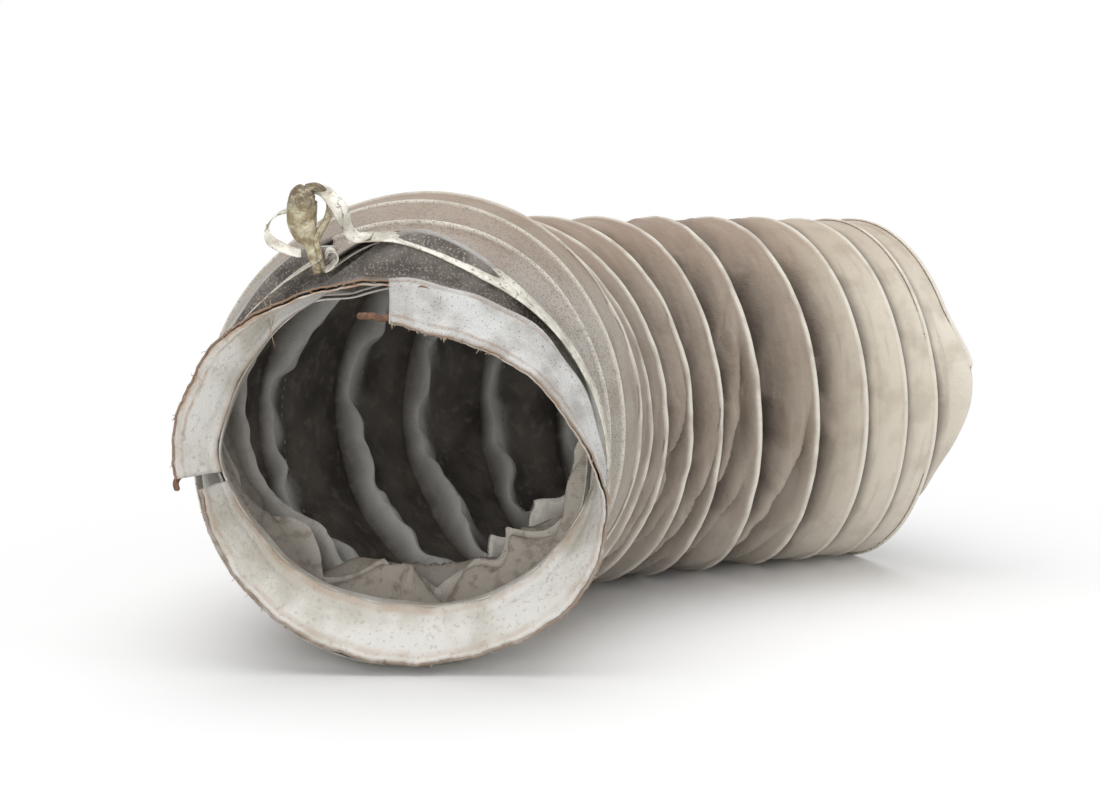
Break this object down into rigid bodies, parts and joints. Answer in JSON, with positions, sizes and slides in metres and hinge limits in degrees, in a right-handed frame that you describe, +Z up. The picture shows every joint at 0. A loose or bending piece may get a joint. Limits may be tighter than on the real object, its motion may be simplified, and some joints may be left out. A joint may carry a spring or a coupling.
{
  "type": "flexible air duct",
  "caption": "Short flexible air duct of coated cloth tape over a wire helix, bent to the side, with an old strap clamp and split-pin key on its front mouth.",
  "frame": {"origin": "centre of the front mouth, at the plane of its rim", "axes": "the front mouth faces -Y and the duct runs off along +Y, bending towards +X; +Z is up"},
  "size_m": [0.2174, 0.2232, 0.1264],
  "materials": {
    "outer_cloth": "worn coated glass cloth",
    "inner_cloth": "sooty coated glass cloth",
    "rim_cloth": "clean coated glass cloth",
    "spring_wire": "rusty drawn wire",
    "seam_thread": "twisted thread",
    "strap_steel": "worn tinned strip",
    "pin_steel": "plated wire, tarnished"
  },
  "bodies": {
    "rear_end": {"stretch_zone_outer_ply": "outer_cloth", "stretch_zone_liner": "inner_cloth", "stretch_zone_wire": "spring_wire", "stretch_zone_thread": "seam_thread", "rear_cuff_outer_ply": "outer_cloth", "rear_cuff_liner": "inner_cloth", "rear_cuff_wire": "spring_wire", "rear_cuff_thread": "seam_thread"},
    "rear_middle": {"rear_bend_outer_ply": "outer_cloth", "rear_bend_liner": "inner_cloth", "rear_bend_wire": "spring_wire", "rear_bend_thread": "seam_thread", "rear_middle_outer_ply": "outer_cloth", "rear_middle_liner": "inner_cloth", "rear_middle_wire": "spring_wire", "rear_middle_thread": "seam_thread"},
    "centre": {"lift_bend_outer_ply": "outer_cloth", "lift_bend_liner": "inner_cloth", "lift_bend_wire": "spring_wire", "lift_bend_thread": "seam_thread", "centre_turn_outer_ply": "outer_cloth", "centre_turn_liner": "inner_cloth", "centre_turn_wire": "spring_wire", "centre_turn_thread": "seam_thread"},
    "front_middle": {"front_bend_outer_ply": "outer_cloth", "front_bend_liner": "inner_cloth", "front_bend_wire": "spring_wire", "front_bend_thread": "seam_thread", "front_middle_outer_ply": "outer_cloth", "front_middle_liner": "inner_cloth", "front_middle_wire": "spring_wire", "front_middle_thread": "seam_thread"},
    "front_end": {"front_rim_inner_ply": "rim_cloth", "front_rim_outer_ply": "rim_cloth", "front_rim_wire": "spring_wire", "neck_outer_ply": "outer_cloth", "neck_liner": "inner_cloth", "neck_wire": "spring_wire", "neck_thread": "seam_thread", "clamp_strap": "strap_steel"},
    "clamp_key": {"split_pin": "pin_steel"}
  },
  "joints": [
    {"name": "stretch_slide", "type": "slide", "parent": "rear_end", "child": "rear_middle", "axis": [-0.9063, -0.4226, 0], "range_m": [-0.012, 0.018], "deforming": ["stretch_zone_outer_ply", "stretch_zone_liner", "stretch_zone_wire", "stretch_zone_thread"]},
    {"name": "rear_bend_turn", "type": "hinge", "parent": "rear_middle", "child": "centre", "pos_m": [0.05321, 0.13129, 0.002], "axis": [0, 0, -1], "range_deg": [-8, 15], "deforming": ["rear_bend_outer_ply", "rear_bend_liner", "rear_bend_wire", "rear_bend_thread"]},
    {"name": "lift_bend_turn", "type": "hinge", "parent": "centre", "child": "front_middle", "pos_m": [0.01993, 0.09712, 0.002], "axis": [-0.838, 0.5457, 0], "range_deg": [-10, 10], "deforming": ["lift_bend_outer_ply", "lift_bend_liner", "lift_bend_wire", "lift_bend_thread"]},
    {"name": "front_bend_turn", "type": "hinge", "parent": "front_middle", "child": "front_end", "pos_m": [0.00214, 0.05287, 0.002], "axis": [0, 0, -1], "range_deg": [-8, 15], "deforming": ["front_bend_outer_ply", "front_bend_liner", "front_bend_wire", "front_bend_thread"]},
    {"name": "key_turn", "type": "hinge", "parent": "front_end", "child": "clamp_key", "pos_m": [-0.0196, 0.0173, 0.05107], "axis": [-0.3584, 0, 0.9336], "range_deg": [-90, 90]}
  ]
}
